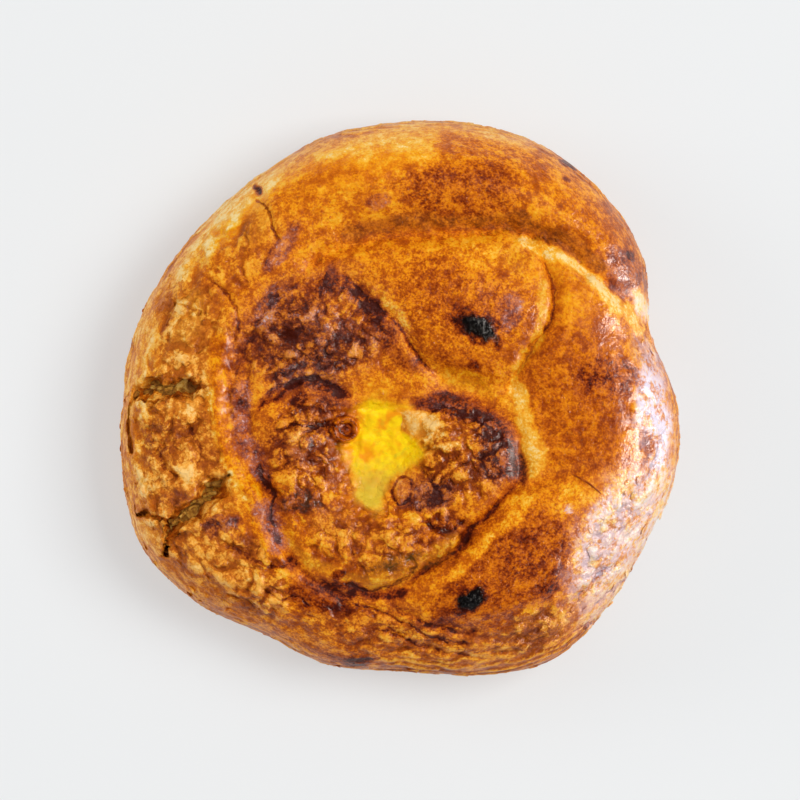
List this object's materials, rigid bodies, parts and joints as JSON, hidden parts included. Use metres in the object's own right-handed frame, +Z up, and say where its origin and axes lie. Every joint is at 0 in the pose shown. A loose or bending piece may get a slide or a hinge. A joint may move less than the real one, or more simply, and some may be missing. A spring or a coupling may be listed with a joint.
{
  "type": "cabbage puff pastry pie",
  "caption": "Round coiled puff pastry pie with overlapping golden turns, cracks that show the cabbage filling and a set egg spot in the middle.",
  "frame": {"origin": "centre of the flat underside", "axes": "+Z up; +X towards the side where the outer turn's tip ends, +Y towards the back of the coil, as the picture is seen from above with +Y at its top"},
  "size_m": [0.1396, 0.1402, 0.0398],
  "materials": {
    "crust": "baked, egg-glazed puff pastry, golden to dark brown",
    "cabbage": "soft stewed cabbage, moist",
    "egg": "set egg, smooth and moist"
  },
  "bodies": {
    "root": {"pastry_coil": "crust", "cabbage_filling": "cabbage", "set_egg": "egg"}
  },
  "joints": []
}
